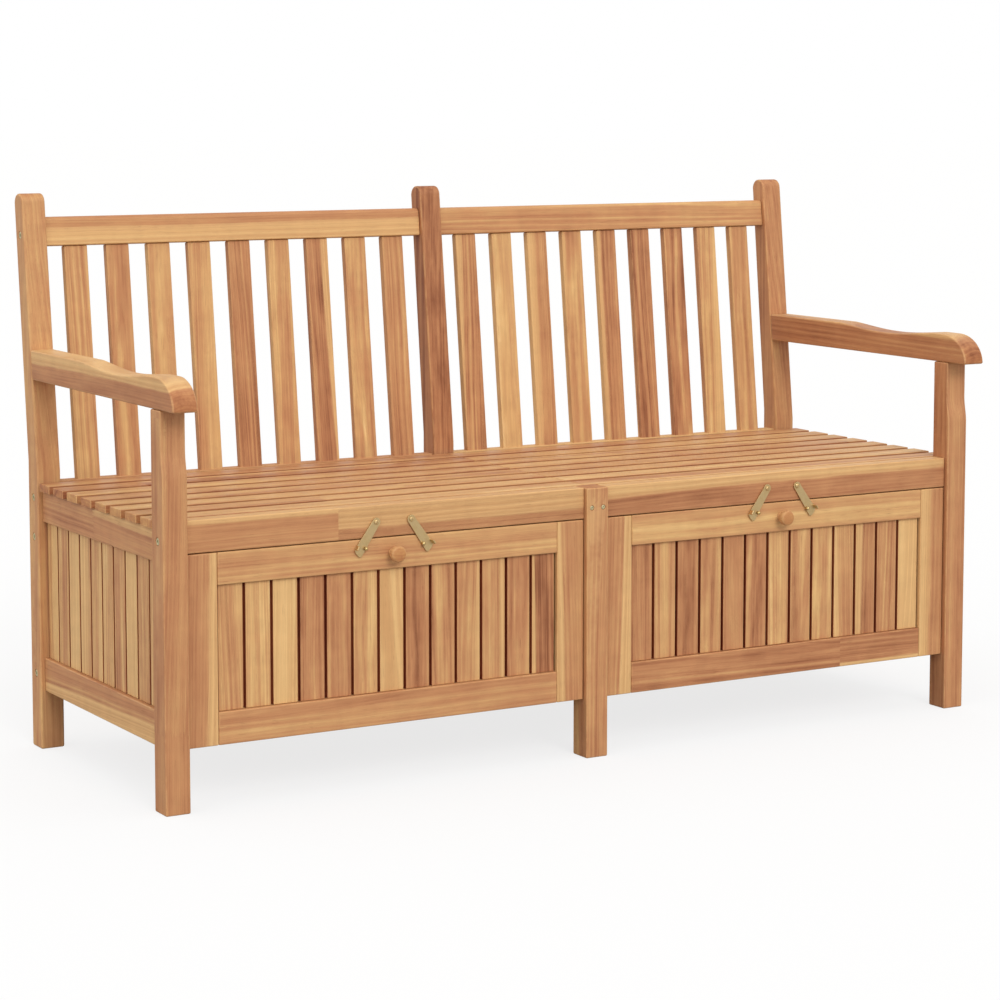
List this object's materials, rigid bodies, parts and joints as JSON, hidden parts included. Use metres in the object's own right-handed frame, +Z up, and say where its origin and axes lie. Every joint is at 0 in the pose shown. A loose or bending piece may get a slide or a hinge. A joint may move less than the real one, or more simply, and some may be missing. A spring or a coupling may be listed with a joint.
{
  "type": "storage bench",
  "caption": "Wooden garden bench with slatted seat and back and shaped armrests, over a closed storage space with drop-front doors, turned knobs and brass swing latches.",
  "frame": {"origin": "centre of the bounding box in X and Y, on the ground", "axes": "+X along the bench to its right as seen from the front, +Y from front to back, +Z up"},
  "size_m": [1.5, 0.6262, 0.9],
  "materials": {
    "wood": "oiled satin",
    "brass": "satin"
  },
  "bodies": {
    "frame": {"front_leg_left": "wood", "front_leg_middle": "wood", "front_leg_right": "wood", "rear_post_left": "wood", "rear_post_middle": "wood", "rear_post_right": "wood", "armrest_left": "wood", "armrest_right": "wood", "back_top_rail_left": "wood", "back_top_rail_right": "wood", "back_slats_left": "wood", "back_slats_right": "wood", "seat_slats_left": "wood", "seat_slats_right": "wood", "seat_cross_rail": "wood", "front_rail_left": "wood", "front_rail_right": "wood", "front_lower_rail": "wood", "side_upper_rail_left": "wood", "side_upper_rail_right": "wood", "side_lower_rail_left": "wood", "side_lower_rail_right": "wood", "side_slats_left": "wood", "side_slats_right": "wood", "rear_panel_left": "wood", "rear_panel_right": "wood", "floor_left": "wood", "floor_right": "wood", "left_door_latch_left_screw": "brass", "left_door_frame_leaf_left": "brass", "left_door_latch_right_screw": "brass", "left_door_frame_leaf_right": "brass", "right_door_latch_left_screw": "brass", "right_door_frame_leaf_left": "brass", "right_door_latch_right_screw": "brass", "right_door_frame_leaf_right": "brass"},
    "left_door": {"left_door_stile_left": "wood", "left_door_stile_right": "wood", "left_door_top_rail": "wood", "left_door_bottom_rail": "wood", "left_door_slats": "wood", "left_door_knob": "wood", "left_door_latch_left_catch_pin": "brass", "left_door_hinge_leaf_left": "brass", "left_door_latch_right_catch_pin": "brass", "left_door_hinge_leaf_right": "brass"},
    "left_door_latch_left": {"left_door_latch_left": "brass"},
    "left_door_latch_right": {"left_door_latch_right": "brass"},
    "right_door": {"right_door_stile_left": "wood", "right_door_stile_right": "wood", "right_door_top_rail": "wood", "right_door_bottom_rail": "wood", "right_door_slats": "wood", "right_door_knob": "wood", "right_door_latch_left_catch_pin": "brass", "right_door_hinge_leaf_left": "brass", "right_door_latch_right_catch_pin": "brass", "right_door_hinge_leaf_right": "brass"},
    "right_door_latch_left": {"right_door_latch_left": "brass"},
    "right_door_latch_right": {"right_door_latch_right": "brass"}
  },
  "joints": [
    {"name": "left_door_hinge", "type": "hinge", "parent": "frame", "child": "left_door", "pos_m": [-0.365, -0.23385, 0.0994], "axis": [1, 0, 0], "range_deg": [0, 90]},
    {"name": "left_door_latch_left_swing", "type": "hinge", "parent": "frame", "child": "left_door_latch_left", "pos_m": [-0.3954, -0.26645, 0.4115], "axis": [0, 1, 0], "range_deg": [0, 100]},
    {"name": "left_door_latch_right_swing", "type": "hinge", "parent": "frame", "child": "left_door_latch_right", "pos_m": [-0.3346, -0.26645, 0.4115], "axis": [0, -1, 0], "range_deg": [0, 100]},
    {"name": "right_door_hinge", "type": "hinge", "parent": "frame", "child": "right_door", "pos_m": [0.365, -0.23385, 0.0994], "axis": [1, 0, 0], "range_deg": [0, 90]},
    {"name": "right_door_latch_left_swing", "type": "hinge", "parent": "frame", "child": "right_door_latch_left", "pos_m": [0.3346, -0.26645, 0.4115], "axis": [0, 1, 0], "range_deg": [0, 100]},
    {"name": "right_door_latch_right_swing", "type": "hinge", "parent": "frame", "child": "right_door_latch_right", "pos_m": [0.3954, -0.26645, 0.4115], "axis": [0, -1, 0], "range_deg": [0, 100]}
  ]
}
